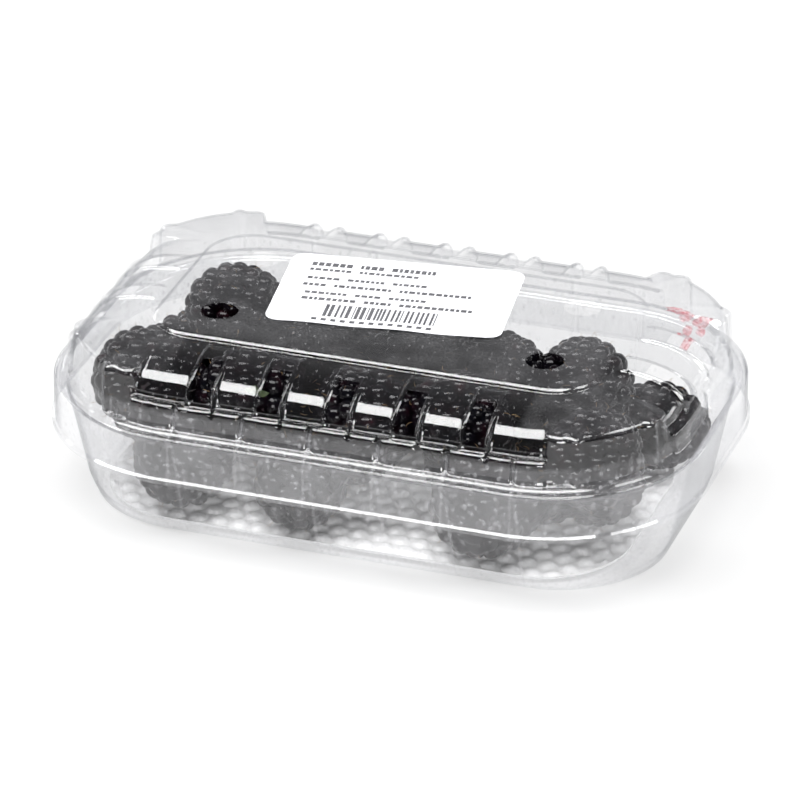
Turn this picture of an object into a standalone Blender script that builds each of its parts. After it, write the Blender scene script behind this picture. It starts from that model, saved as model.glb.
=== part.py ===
"""A clear two-piece punnet of dark bramble berries, shut.

Five pieces: the thermoformed tray, the lid with its overlapping skirt, the paper label on
the lid, the bubble-embossed pad on the tray's floor, and the heap of berries as one uneven solid.
Run it with blender --background --python part.py, or from Blender's text editor.

Sizes below are in millimetres and are turned into metres as each mesh is made. The origin is on
the surface the punnet stands on, under its middle. +X runs along it, -Y is the front, +Z is up.
"""

import math
import random

import bmesh
import bpy

MM = 0.001

# ---------------------------------------------------------------- driving dimensions
LENGTH = 143.0              # over the lid's skirt
WIDTH = 95.0
PANEL_TOP = 41.0            # top of the lid's flat panel
SKIRT_RADIUS = 34.4         # plan radius of the skirt's corners
SHEET = 0.45                # wall thickness of the thermoformed sheet
GAP = 0.3                   # clearance between pieces that touch

# lid panel
PANEL_HALF = (50.0, 26.0)   # outline where the panel meets the shoulders
PANEL_RADIUS = 11.5
PANEL_STEP = 1.0            # how far the panel stands above the shoulders
SHOULDER = PANEL_TOP - PANEL_STEP
HOLE_AT = (35.8, 13.0)      # the four round vents, mirrored both ways
HOLE_DIAMETER = 8.1

# lid shoulders, as distances out from the panel's outline
REACH = LENGTH / 2 - PANEL_HALF[0]
BARREL_START = 1.5
BARREL_FOOT = 33.5          # height at which a barrel's curve ends
BARREL_RUN = 13.4
BAND_PROUD = 0.9            # how far a vented band stands out of the barrels
BAND_PITCH = 14.85
BAND_HALF = 3.6
BAND_EDGE = 1.15            # width of the band's sloping edge beside the vent
SIDE_BAND_AT = 7.4          # the two bands of each short side
LEDGE_OUT = 17.35
LEDGE_Z = 32.3
WALL_FOOT_OUT = 17.8
WALL_FOOT_Z = 28.0
FLANGE_OUT = 20.5
FLANGE_Z = 27.0
SKIRT_TOP_OUT = 20.95
SKIRT_TOP_Z = 26.4
SKIRT_BOTTOM_Z = 16.9
VENT_ROWS = (2, 5)          # profile rows between which a band is cut open

# corner blocks
BLOCK_EDGE_Z = 38.4
BLOCK_WALL_TOP_Z = 37.6
BLOCK_INSET = 5.1           # of the block's outer wall from the skirt
PILLAR_PROUD = 1.3
PILLAR_AT = (0.205, 0.79)   # along the block, from its front edge to its side edge
PILLAR_HALF = 0.075
BLOCK_STATIONS = (0.0, 0.07, 0.13, 0.205, 0.28, 0.42, 0.57, 0.715, 0.79, 0.865, 0.93, 1.0)

# tray: half length, half width, corner radius and height of each level
TRAY_OUTSIDE = (
    (61.8, 35.3, 22.8, 0.0),
    (63.0, 36.5, 24.0, 1.2),
    (68.4, 44.2, 31.3, 24.9),
    (69.9, 45.8, 32.9, 25.5),
    (69.9, 45.8, 32.9, 26.0),
)
TRAY_INSIDE = (
    (68.3, 44.1, 31.2, 26.0),
    (67.9, 43.7, 30.8, 25.2),
    (62.6, 36.1, 23.6, 1.5),
    (61.6, 35.1, 22.6, 0.55),
)
TRAY_CORNER_POINTS = 12

# pad and label
PAD_HALF = (57.5, 34.0)
PAD_SHIFT = -2.0            # the pad stops short of the tray's right end
PAD_RADIUS = 20.0
PAD_BOTTOM = 0.85
PAD_TOP = 2.3
LABEL_SIZE = (50.3, 32.3)
LABEL_AT = (-3.0, 5.3)
LABEL_TURN = math.radians(7.7)
LABEL_RADIUS = 3.0
LABEL_THICKNESS = 0.15

# berries: rows of (depth, starting height, first x, last x, how many, their size against the usual)
BERRY_ROWS = (
    (-29.5, 13.0, -41.5, -12.0, 2, 1.0),
    (-29.0, 13.0, 25.0, 25.0, 1, 1.16),
    (-7.0, 13.0, -57.0, 45.0, 5, 1.0),
    (20.0, 13.0, -60.0, 52.0, 5, 1.0),
    (-19.0, 27.0, -49.0, 48.0, 5, 1.0),
    (6.0, 27.0, -16.0, 2.0, 2, 1.0),
    (6.0, 27.0, 20.0, 37.0, 2, 1.0),
    (15.0, 27.0, -47.0, -47.0, 1, 1.0),
)
BERRY_SEED = 11
BERRY_HALF = (12.2, 10.3)   # half length, half thickness
BERRY_SPREAD = 0.06
BERRY_CLEAR = 0.6           # between the sheet's outline and the berries
BERRY_SQUEEZE = 1.4         # how far two berries' soft surfaces settle into each other
BERRY_HOME_PULL = 0.05      # how firmly a berry keeps its place in its row
BERRY_HEIGHT_PULL = 0.02    # how firmly its neighbours hold it at its row's height
BERRY_SINK = 0.06           # how far it sinks in each step of the settling
BERRY_CEILING = 36.8        # highest that a berry reaches under the lid
HEAP_FLOOR = PAD_TOP + GAP
HEAP_SECTORS = 52
HEAP_RINGS = 13
HEAP_LOW = 7.0              # the heap's height where no berry lies
HEAP_CLEAR = 0.7            # between the heap's side and the tray


# ---------------------------------------------------------------- outlines
def quarter_length(half, radius):
    return (half[0] - radius) + radius * math.pi / 2 + (half[1] - radius)


def quarter_point(half, radius, run):
    """The point a given run along a rounded rectangle's quarter, from its long side's middle."""
    straight = half[0] - radius
    bend = radius * math.pi / 2
    if run <= straight:
        return run, half[1]
    if run <= straight + bend:
        angle = (run - straight) / radius
        return straight + radius * math.sin(angle), half[1] - radius + radius * math.cos(angle)
    return half[0], half[1] - radius - (run - straight - bend)


def full_loop(quarter):
    """Mirror a quarter's list of (x, y, z) columns into a whole loop, counter-clockwise from -Y."""
    def mirrored(columns, sx, sy):
        return [[(x * sx, y * sy, z) for x, y, z in column] for column in columns]

    back_to_front = quarter[::-1]
    loop = mirrored(quarter, 1, -1)
    loop += mirrored(back_to_front[1:], 1, 1)
    loop += mirrored(quarter[1:], -1, 1)
    loop += mirrored(back_to_front[1:-1], -1, -1)
    return loop


def rounded_loop(half, radius, corner_points, z=0.0, turn=0.0, centre=(0.0, 0.0)):
    """Points of a rounded rectangle, counter-clockwise."""
    points = []
    for corner, (sx, sy) in enumerate(((1, 1), (-1, 1), (-1, -1), (1, -1))):
        for step in range(corner_points):
            angle = math.pi / 2 * (corner + step / (corner_points - 1))
            x = sx * (half[0] - radius) + radius * math.cos(angle)
            y = sy * (half[1] - radius) + radius * math.sin(angle)
            points.append((
                centre[0] + x * math.cos(turn) - y * math.sin(turn),
                centre[1] + x * math.sin(turn) + y * math.cos(turn),
                z,
            ))
    return points


# ---------------------------------------------------------------- mesh helpers
def new_object(name, mesh_data, material):
    mesh = bpy.data.meshes.new(name)
    mesh_data.to_mesh(mesh)
    mesh_data.free()
    mesh.transform(((MM, 0, 0, 0), (0, MM, 0, 0), (0, 0, MM, 0), (0, 0, 0, 1)))
    mesh.shade_smooth()
    mesh.set_sharp_from_angle(angle=math.radians(35))
    mesh.materials.append(material)
    piece = bpy.data.objects.new(name, mesh)
    bpy.context.scene.collection.objects.link(piece)
    return piece


def loft(loops):
    """Join equal loops of points into a closed skin with a flat cap at each end."""
    skin = bmesh.new()
    rings = [[skin.verts.new(point) for point in loop] for loop in loops]
    for low, high in zip(rings, rings[1:]):
        for i in range(len(low)):
            j = (i + 1) % len(low)
            skin.faces.new((low[i], low[j], high[j], high[i]))
    skin.faces.new(rings[0][::-1])
    skin.faces.new(rings[-1])
    bmesh.ops.recalc_face_normals(skin, faces=skin.faces)
    return skin


def plain_material(name, colour, roughness, alpha=1.0):
    material = bpy.data.materials.new(name)
    material.use_nodes = True
    shader = material.node_tree.nodes["Principled BSDF"]
    shader.inputs["Base Color"].default_value = (*colour, 1.0)
    shader.inputs["Roughness"].default_value = roughness
    shader.inputs["Metallic"].default_value = 0.0
    shader.inputs["Alpha"].default_value = alpha
    return material


# ---------------------------------------------------------------- lid
def smooth_bump(position, centre, half):
    """One at the centre, zero a half width away, with soft sides."""
    distance = abs(position - centre) / half
    return 0.0 if distance >= 1.0 else 0.5 + 0.5 * math.cos(math.pi * distance)


def outer_rows(length):
    """The wall's foot, the flange and the skirt, the same all the way round."""
    rows = ((WALL_FOOT_OUT, WALL_FOOT_Z), (FLANGE_OUT, FLANGE_Z),
            (SKIRT_TOP_OUT, SKIRT_TOP_Z), (REACH, SKIRT_BOTTOM_Z))
    return [(length - REACH + out, z) for out, z in rows]


def bay_profile(length, lift):
    """A quarter-round barrel, or a band standing out of it, then the ledge and the low wall."""
    stretch = length / REACH
    run = BARREL_RUN + lift * BAND_PROUD
    rise = SHOULDER - BARREL_FOOT + lift * BAND_PROUD * 0.4
    rows = [(0.0, SHOULDER)]
    for step in range(5):
        angle = math.pi / 2 * (1 - step / 4)
        out = BARREL_START + run * math.cos(angle)
        rows.append((out * stretch, BARREL_FOOT + rise * math.sin(angle)))
    rows.append((length - REACH + LEDGE_OUT, LEDGE_Z))
    return rows + outer_rows(length)


def block_profile(length, along):
    """A nearly level top that ends in a tall outer wall with two upright pillars."""
    inset = BLOCK_INSET
    for centre in PILLAR_AT:
        inset -= PILLAR_PROUD * smooth_bump(along, centre, PILLAR_HALF)
    inset += 0.9 * (smooth_bump(along, 0.0, 0.07) + smooth_bump(along, 1.0, 0.07))
    wall = length - inset
    top_edge = wall - 0.7
    rows = [(0.0, SHOULDER)]
    for step in range(1, 6):
        share = step / 5
        rows.append((top_edge * share, SHOULDER + (BLOCK_EDGE_Z - SHOULDER) * share ** 1.5))
    rows.append((wall, BLOCK_WALL_TOP_Z))
    foot = max(wall + 0.3, length - REACH + WALL_FOOT_OUT - 0.6)
    return rows + [(foot, WALL_FOOT_Z)] + outer_rows(length)[1:]


def lid_stations():
    """Runs along the panel and along the skirt, and the profile, of a quarter's columns."""
    skirt_half = (LENGTH / 2, WIDTH / 2)
    panel_straight = PANEL_HALF[0] - PANEL_RADIUS
    skirt_straight = skirt_half[0] - SKIRT_RADIUS
    panel_quarter = quarter_length(PANEL_HALF, PANEL_RADIUS)
    skirt_quarter = quarter_length(skirt_half, SKIRT_RADIUS)
    last_band = 2 * BAND_PITCH + BAND_HALF
    block_start = (panel_straight + PANEL_RADIUS * math.radians(11.0),
                   skirt_straight + SKIRT_RADIUS * math.radians(15.7))
    block_end = (panel_straight + PANEL_RADIUS * math.radians(66.5),
                 skirt_straight + SKIRT_RADIUS * math.radians(75.6))
    wall_run = (0.35, 0.9)

    stations = []
    for band in range(3):
        for offset, lift in ((-BAND_HALF, 0), (BAND_EDGE - BAND_HALF, 1),
                             (BAND_HALF - BAND_EDGE, 1), (BAND_HALF, 0)):
            run = band * BAND_PITCH + offset
            if run > 0:
                stations.append((run, run, "bay", lift))
    stations.insert(0, (0.0, 0.0, "bay", 1))
    middle = ((last_band + block_start[0] - wall_run[0]) / 2,
              (last_band + block_start[1] - wall_run[1]) / 2)
    stations.append((*middle, "bay", 0))
    stations.append((block_start[0] - wall_run[0], block_start[1] - wall_run[1], "bay", 0))
    for share in BLOCK_STATIONS:
        stations.append((
            block_start[0] + (block_end[0] - block_start[0]) * share,
            block_start[1] + (block_end[1] - block_start[1]) * share,
            "block", share,
        ))
    stations.append((block_end[0] + wall_run[0], block_end[1] + wall_run[1], "bay", 0))
    for offset, lift in ((BAND_HALF, 0), (BAND_HALF - BAND_EDGE, 1),
                         (BAND_EDGE - BAND_HALF, 1), (-BAND_HALF, 0)):
        from_end = SIDE_BAND_AT + offset
        stations.append((panel_quarter - from_end, skirt_quarter - from_end, "bay", lift))
    stations.append((panel_quarter, skirt_quarter, "bay", 0))
    return stations


def lid_columns():
    """Columns of points from the panel's rim to the skirt's lower edge, and the open cells."""
    skirt_half = (LENGTH / 2, WIDTH / 2)
    quarter = []
    open_from = []
    stations = lid_stations()
    for number, (panel_run, skirt_run, kind, value) in enumerate(stations):
        inner = quarter_point(PANEL_HALF, PANEL_RADIUS, panel_run)
        outer = quarter_point(skirt_half, SKIRT_RADIUS, skirt_run)
        length = math.dist(inner, outer)
        heading = ((outer[0] - inner[0]) / length, (outer[1] - inner[1]) / length)
        profile = bay_profile(length, value) if kind == "bay" else block_profile(length, value)
        profile.insert(0, (-PANEL_STEP, PANEL_TOP))
        quarter.append([(inner[0] + heading[0] * out, inner[1] + heading[1] * out, z)
                        for out, z in profile])
        following = stations[number + 1] if number + 1 < len(stations) else None
        if following and kind == following[2] == "bay" and value == following[3] == 1:
            open_from.append(number)
    return quarter, open_from


def make_lid(material):
    quarter, open_from = lid_columns()
    loop = full_loop(quarter)
    last = len(quarter) - 1
    open_cells = set()
    for start in open_from:
        open_cells.update((start, 2 * last - 1 - start, 2 * last + start, 4 * last - 1 - start))
    skin = bmesh.new()
    grid = [[skin.verts.new(point) for point in column] for column in loop]
    for i, column in enumerate(grid):
        following = grid[(i + 1) % len(grid)]
        for row in range(len(column) - 1):
            if i in open_cells and VENT_ROWS[0] <= row - 1 < VENT_ROWS[1]:
                continue
            skin.faces.new((column[row], column[row + 1], following[row + 1], following[row]))
    skin.faces.new([column[0] for column in grid])
    bmesh.ops.recalc_face_normals(skin, faces=skin.faces)
    if max(skin.faces, key=lambda face: face.calc_center_median().z).normal.z < 0:
        bmesh.ops.reverse_faces(skin, faces=skin.faces)
    lid = new_object("lid", skin, material)

    shell = lid.modifiers.new("sheet", "SOLIDIFY")
    shell.thickness = SHEET * MM
    shell.offset = -1.0
    shell.use_even_offset = False

    for number, (sx, sy) in enumerate(((1, 1), (-1, 1), (-1, -1), (1, -1))):
        cutter_mesh = bmesh.new()
        bmesh.ops.create_cone(
            cutter_mesh, cap_ends=True, segments=24,
            radius1=HOLE_DIAMETER / 2, radius2=HOLE_DIAMETER / 2, depth=6.0,
        )
        bmesh.ops.translate(
            cutter_mesh, verts=cutter_mesh.verts,
            vec=(sx * HOLE_AT[0], sy * HOLE_AT[1], PANEL_TOP),
        )
        cutter = new_object(f"hole_cutter_{number}", cutter_mesh, material)
        cutter.hide_render = True
        cutter.display_type = "WIRE"
        cut = lid.modifiers.new(f"round_vent_{number}", "BOOLEAN")
        cut.operation = "DIFFERENCE"
        cut.solver = "EXACT"
        cut.object = cutter
    return lid


# ---------------------------------------------------------------- tray, pad and label
def make_tray(material):
    loops = [rounded_loop((half_length, half_width), radius, TRAY_CORNER_POINTS, z)
             for half_length, half_width, radius, z in TRAY_OUTSIDE + TRAY_INSIDE]
    return new_object("tray", loft(loops), material)


def make_pad(material):
    edge = 0.5
    loops = []
    for inset, z in ((edge, PAD_BOTTOM), (0.0, PAD_BOTTOM + edge), (0.0, PAD_TOP - edge), (edge, PAD_TOP)):
        half = (PAD_HALF[0] - inset, PAD_HALF[1] - inset)
        loops.append(rounded_loop(half, PAD_RADIUS - inset, 8, z, centre=(PAD_SHIFT, 0.0)))
    return new_object("pad", loft(loops), material)


def make_label(material):
    half = (LABEL_SIZE[0] / 2, LABEL_SIZE[1] / 2)
    bottom = PANEL_TOP + GAP
    loops = [rounded_loop(half, LABEL_RADIUS, 6, z, LABEL_TURN, LABEL_AT)
             for z in (bottom, bottom + LABEL_THICKNESS)]
    return new_object("label", loft(loops), material)


# ---------------------------------------------------------------- berries
def tray_reach(z):
    """Half length, half width and corner radius of the tray's inside at a height."""
    top, bottom = TRAY_INSIDE[1], TRAY_INSIDE[2]
    share = min(max((z - bottom[3]) / (top[3] - bottom[3]), 0.0), 1.0)
    return [low + (high - low) * share for low, high in zip(bottom[:3], top[:3])]


def keep_inside(x, y, z, radius):
    """Pull a berry's middle back inside the tray's tapering wall."""
    half_length, half_width, corner = tray_reach(z)
    corner_x = half_length - corner
    corner_y = half_width - corner
    off_x = max(abs(x) - corner_x, 0.0)
    off_y = max(abs(y) - corner_y, 0.0)
    off = math.hypot(off_x, off_y)
    limit = corner - BERRY_CLEAR - radius
    if off > limit:
        off_x *= limit / off
        off_y *= limit / off
        x = math.copysign(min(abs(x), corner_x) + off_x, x)
        y = math.copysign(min(abs(y), corner_y) + off_y, y)
    return x, y


def settled_berries():
    """Middles, half sizes and headings of the berries after settling in the tray."""
    rng = random.Random(BERRY_SEED)
    homes = []
    sizes = []
    headings = []
    for depth, height, first, last, count, against_usual in BERRY_ROWS:
        for k in range(count):
            x = first + (last - first) * k / max(count - 1, 1) + rng.uniform(-2.0, 2.0)
            homes.append((x, depth + rng.uniform(-2.0, 2.0), height))
            scale = against_usual + rng.uniform(-BERRY_SPREAD, BERRY_SPREAD)
            sizes.append((BERRY_HALF[0] * scale, BERRY_HALF[1] * scale))
            headings.append(rng.uniform(0.0, math.pi))
    middles = [list(home) for home in homes]
    for _ in range(400):
        for middle, home in zip(middles, homes):
            middle[0] += (home[0] - middle[0]) * BERRY_HOME_PULL
            middle[1] += (home[1] - middle[1]) * BERRY_HOME_PULL
            middle[2] += (home[2] - middle[2]) * BERRY_HEIGHT_PULL - BERRY_SINK
        for i, a in enumerate(middles):
            for j in range(i):
                b = middles[j]
                reach = sizes[i][1] + sizes[j][1] - BERRY_SQUEEZE
                apart = math.dist(a, b)
                if apart < reach:
                    push = (reach - apart) / apart * 0.5
                    for axis in range(3):
                        shift = (a[axis] - b[axis]) * push
                        a[axis] += shift
                        b[axis] -= shift
        for middle, size in zip(middles, sizes):
            middle[0], middle[1] = keep_inside(*middle, size[1])
            middle[2] = min(max(middle[2], HEAP_FLOOR + size[1]), BERRY_CEILING - size[1])
    return middles, sizes, headings


def heap_height(x, y, berries):
    """Height of the berries' upper outline over a point of the plan."""
    height = HEAP_LOW
    for middle, size, heading in zip(*berries):
        dx = x - middle[0]
        dy = y - middle[1]
        along = (dx * math.cos(heading) + dy * math.sin(heading)) / size[0]
        across = (-dx * math.sin(heading) + dy * math.cos(heading)) / size[1]
        inside = 1.0 - along * along - across * across
        if inside > 0.0:
            height = max(height, middle[2] + size[1] * math.sqrt(inside))
    return height


def make_heap(material):
    """The heap as one solid: its underside on the pad, its top the berries' uneven outline."""
    berries = settled_berries()
    side_height = HEAP_LOW + 1.5

    def ring(size, z):
        points = []
        for k in range(HEAP_SECTORS):
            quarter = 4 * k / HEAP_SECTORS
            index = int(quarter)
            length = quarter_length(size[:2], size[2])
            run = (quarter - index) * length
            if index % 2:
                run = length - run
            x, y = quarter_point(size[:2], size[2], run)
            sx = 1 if index < 2 else -1
            sy = -1 if index in (0, 3) else 1
            points.append((x * sx, y * sy, z))
        return points

    floor_size = [size - HEAP_CLEAR for size in tray_reach(HEAP_FLOOR)]
    side_size = [size - HEAP_CLEAR for size in tray_reach(HEAP_LOW)]
    loops = [ring(floor_size, HEAP_FLOOR), ring(side_size, HEAP_LOW)]
    edge = ring(side_size, 0.0)
    for step in range(HEAP_RINGS):
        share = 1.0 - step / HEAP_RINGS
        loop = []
        for x, y, _ in edge:
            height = heap_height(x * share, y * share, berries)
            loop.append((x * share, y * share, max(height, side_height)))
        loops.append(loop)
    return new_object("berries", loft(loops), material)


# ---------------------------------------------------------------- the whole
def main():
    for leftover in list(bpy.data.objects):
        bpy.data.objects.remove(leftover)
    clear = plain_material("clear_sheet", (0.90, 0.91, 0.92), 0.06, alpha=0.3)
    paper = plain_material("label_paper", (0.86, 0.86, 0.90), 0.55)
    pulp = plain_material("bubble_pad", (0.93, 0.93, 0.93), 0.7)
    fruit = plain_material("dark_fruit", (0.012, 0.008, 0.014), 0.3)
    make_tray(clear)
    make_lid(clear)
    make_label(paper)
    make_pad(pulp)
    make_heap(fruit)


main()
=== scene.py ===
"""Looks of a clear two-piece punnet of dark bramble berries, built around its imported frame.

Lengths are in millimetres and are turned into metres as each mesh is made. The lid and the tray are
thin closed sheets swept round their outlines, the berries are heaps of small plump drupelets on dark
cores, and the pad and the label are thin sheets of their own.
"""

import math
import random

import bmesh
import bpy
import numpy as np
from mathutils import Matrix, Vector, noise
from mathutils.bvhtree import BVHTree
from mathutils.geometry import delaunay_2d_cdt


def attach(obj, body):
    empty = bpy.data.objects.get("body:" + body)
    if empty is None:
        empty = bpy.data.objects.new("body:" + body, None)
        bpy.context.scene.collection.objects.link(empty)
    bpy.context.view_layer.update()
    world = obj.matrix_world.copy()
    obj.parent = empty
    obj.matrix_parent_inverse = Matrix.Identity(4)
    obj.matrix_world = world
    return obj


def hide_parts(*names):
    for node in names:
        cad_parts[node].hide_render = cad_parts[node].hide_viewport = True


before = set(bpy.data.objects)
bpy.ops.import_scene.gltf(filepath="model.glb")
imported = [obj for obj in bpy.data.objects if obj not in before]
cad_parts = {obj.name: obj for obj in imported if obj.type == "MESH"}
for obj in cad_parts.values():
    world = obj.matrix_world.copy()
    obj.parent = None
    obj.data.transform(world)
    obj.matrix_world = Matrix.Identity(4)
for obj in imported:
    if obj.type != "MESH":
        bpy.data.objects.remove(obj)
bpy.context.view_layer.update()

MM = 0.001

# -------- sizes shared with the frame
LENGTH = 143.0
WIDTH = 95.0
SHEET = 0.3  # the real sheet; the frame's is thicker, with the same outer faces
PANEL_TOP = 41.0
PANEL_HALF = (50.0, 26.0)
PANEL_RADIUS = 11.5
SHOULDER = 40.0
HOLE_AT = (35.8, 13.0)
HOLE_DIAMETER = 8.1

SKIRT_HALF = (LENGTH / 2, WIDTH / 2)
SKIRT_RADIUS = 34.4
REACH = SKIRT_HALF[0] - PANEL_HALF[0]
BARREL_START = 1.5
BARREL_FOOT = 33.5
BARREL_RUN = 13.4
BAND_PROUD = 0.9
BAND_RISE_SHARE = 0.4  # a band stands out upwards by only this much of that
BAND_PITCH = 14.85
BAND_HALF = 3.6
BAND_EDGE = 0.5  # width of a band's steep side
BEAD = 0.5  # share of a band's height by which its lips stand higher
BEAD_HALF = 0.5
VENT_HALF = 2.3
SIDE_BAND_AT = 7.4
GROOVE_OFFSET = -5.3  # of the ledge's deep grooves and the tray's ribs from the middle
GROOVE_DEPTH = 0.9
END_GROOVE_DEPTH = 0.8
NOTCH_OFFSET = 3.05  # of the ledge's shallow notches
NOTCH_DEPTH = 0.55
BLOCK_EDGE_Z = 38.4
BLOCK_INSET = 5.1
BLOCK_ROUND = 1.5
BLOCK_CORNER = 0.9  # by how much a block's outer corners are cut back
PILLAR_PROUD = 1.3
PILLAR_AT = (0.205, 0.79)
PILLAR_HALF = 0.075
SKIRT_BOTTOM_Z = 16.9

PAD_HALF = (57.5, 34.0)
PAD_SHIFT = -2.0
PAD_RADIUS = 20.0
PAD_BOTTOM = 0.85
PAD_TOP = 2.3
LABEL_SIZE = (50.3, 32.3)
LABEL_AT = (-3.0, 5.3)
LABEL_TURN = math.radians(7.7)
LABEL_RADIUS = 3.0

# the berries' rows, as in the frame's heap: depth, height, first and last place, number and size share
BERRY_ROWS = (
    (-29.5, 13.0, -41.5, -12.0, 2, 1.0),
    (-29.0, 13.0, 25.0, 25.0, 1, 1.16),
    (-7.0, 13.0, -57.0, 45.0, 5, 1.0),
    (20.0, 13.0, -60.0, 52.0, 5, 1.0),
    (-19.0, 27.0, -49.0, 48.0, 5, 1.0),
    (6.0, 27.0, -16.0, 2.0, 2, 1.0),
    (6.0, 27.0, 20.0, 37.0, 2, 1.0),
    (15.0, 27.0, -47.0, -47.0, 1, 1.0),
)
BERRY_SEED = 11
BERRY_HALF = (12.2, 10.3)
BERRY_SPREAD = 0.06
BERRY_CLEAR = 0.6
BERRY_SQUEEZE = 1.4
BERRY_HOME_PULL = 0.05
BERRY_HEIGHT_PULL = 0.02
BERRY_SINK = 0.06
BERRY_CEILING = 36.8
HEAP_FLOOR = PAD_TOP + 0.3

# camera
CAMERA_AT = (0.3769, -1.1009, 0.6207)
CAMERA_TURN = math.radians(18.90)
CAMERA_DOWN = math.radians(26.48)
FOCAL_PIXELS = 6198.4
PHOTO_PIXELS = 800
TARGET_PIXEL = (401.0, 308.5)  # where the middle of the lid's panel lies in the picture
SENSOR = 36.0


# -------- mesh helpers
def new_piece(name, vertices, faces, material, smooth_angle=40.0):
    mesh = bpy.data.meshes.new(name)
    points = np.asarray(vertices, float) * MM
    mesh.from_pydata(points.tolist(), [], [list(face) for face in faces])
    mesh.validate()
    mesh.shade_smooth()
    mesh.set_sharp_from_angle(angle=math.radians(smooth_angle))
    mesh.materials.append(material)
    piece = bpy.data.objects.new(name, mesh)
    bpy.context.scene.collection.objects.link(piece)
    return piece


def make_sheet(piece, end):
    """Turn a skin of outer faces, open at one end, into a closed sheet with sharp rims."""
    face_outwards(piece, end)
    shell = piece.modifiers.new("sheet", "SOLIDIFY")
    shell.thickness = SHEET * MM
    shell.offset = -1.0
    shell.use_even_offset = False
    graph = bpy.context.evaluated_depsgraph_get()
    made = bpy.data.meshes.new_from_object(piece.evaluated_get(graph))
    piece.modifiers.clear()
    piece.data = made
    made.shade_smooth()
    made.set_sharp_from_angle(angle=math.radians(50.0))


def face_outwards(piece, end=None):
    """Turn a piece's faces outwards. An open skin is judged by its top face (end 1) or bottom one (-1)."""
    skin = bmesh.new()
    skin.from_mesh(piece.data)
    bmesh.ops.recalc_face_normals(skin, faces=skin.faces)
    if end is None:
        outwards = skin.calc_volume(signed=True)
    else:
        last = max(skin.faces, key=lambda face: face.calc_center_median().z * end)
        outwards = last.normal.z * end
    if outwards < 0:
        bmesh.ops.reverse_faces(skin, faces=skin.faces)
    skin.to_mesh(piece.data)
    skin.free()


def show(piece, node):
    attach(piece, "root")
    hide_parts(node)


def quarter_length(half, radius):
    return (half[0] - radius) + radius * math.pi / 2 + (half[1] - radius)


def quarter_point(half, radius, run):
    """The point a given run along a rounded rectangle's quarter, from its long side's middle."""
    straight = half[0] - radius
    bend = radius * math.pi / 2
    if run <= straight:
        return run, half[1]
    if run <= straight + bend:
        angle = (run - straight) / radius
        return straight + radius * math.sin(angle), half[1] - radius + radius * math.cos(angle)
    return half[0], half[1] - radius - (run - straight - bend)


def four_quarters(quarter):
    """A quarter's items as they come in each quarter of the whole loop, counter-clockwise from -Y."""
    back = quarter[::-1]
    return quarter, back[1:], quarter[1:], back[1:-1]


def full_loop(quarter):
    """Mirror a quarter's columns of points into a whole loop."""
    loop = []
    for columns, (sx, sy) in zip(four_quarters(quarter), ((1, -1), (1, 1), (-1, 1), (-1, -1))):
        loop += [[(x * sx, y * sy, z) for x, y, z in column] for column in columns]
    return loop


def uneven_loop(right, left):
    """A whole loop whose left half comes from a quarter of its own."""
    return [a if a[0][0] >= 0 else b for a, b in zip(full_loop(right), full_loop(left))]


def swept_skin(columns, is_open=None):
    """Vertices, row by row, and faces of a skin through a loop of columns, with its openings left out."""
    count = len(columns)
    vertices = [point for row in zip(*columns) for point in row]
    faces = []
    for i in range(count):
        j = (i + 1) % count
        for row in range(len(columns[0]) - 1):
            if is_open is None or not is_open(i, j, row):
                faces.append((row * count + i, (row + 1) * count + i,
                              (row + 1) * count + j, row * count + j))
    return vertices, faces


def off_pitch(x, offset):
    """How far a place lies from the nearest of a row of features at the bands' pitch."""
    return abs((x - offset + BAND_PITCH / 2) % BAND_PITCH - BAND_PITCH / 2)


def smooth_step(low, high, value):
    share = min(max((value - low) / (high - low), 0.0), 1.0)
    return share * share * (3.0 - 2.0 * share)


def soft_bump(value, centre, half):
    """One at the centre and zero a half width away, with soft sides."""
    distance = abs(value - centre) / half
    return 0.0 if distance >= 1.0 else 0.5 + 0.5 * math.cos(math.pi * distance)


def spaced(marks):
    """Values from the first mark to the last; each mark is (value, spacing up to the next one)."""
    values = []
    for (start, spacing), (end, _) in zip(marks, marks[1:]):
        count = max(1, round((end - start) / spacing))
        values += [start + (end - start) * k / count for k in range(count)]
    values.append(marks[-1][0])
    return values


# -------- lid
PANEL_STRAIGHT = PANEL_HALF[0] - PANEL_RADIUS
SKIRT_STRAIGHT = SKIRT_HALF[0] - SKIRT_RADIUS
PANEL_QUARTER = quarter_length(PANEL_HALF, PANEL_RADIUS)
SKIRT_QUARTER = quarter_length(SKIRT_HALF, SKIRT_RADIUS)
BLOCK_START = (PANEL_STRAIGHT + PANEL_RADIUS * math.radians(11.0),
               SKIRT_STRAIGHT + SKIRT_RADIUS * math.radians(15.7))
BLOCK_END = (PANEL_STRAIGHT + PANEL_RADIUS * math.radians(66.5),
             SKIRT_STRAIGHT + SKIRT_RADIUS * math.radians(75.6))
LAST_BAND = 2 * BAND_PITCH + BAND_HALF
SIDE_STRAIGHT = 12.5
BLOCK_WALL_RUN = 1.1  # run over which a block's side wall rises
BLOCK_TOP_START = 1.2  # where a block's top starts, out from the panel's outline
BLOCK_TURNS = (25, 40, 55, 70, 90)  # slopes of its rounded edge, in degrees

# the panel's rounded step, as distances out from its outline, and heights; its sloping edge catches light
PANEL_ROWS = ((-2.5, 41.0), (-2.1, 40.995), (-1.8, 40.96), (-1.55, 40.89), (-1.35, 40.78),
              (-0.83, 40.4), (-0.66, 40.17), (-0.5, 40.04), (-0.25, 40.0), (0.25, 40.0), (0.8, 40.01))
BARREL_STEPS = 18
VENT_ANGLE = 68.0  # a band's vent is open from here down to its foot
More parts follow.
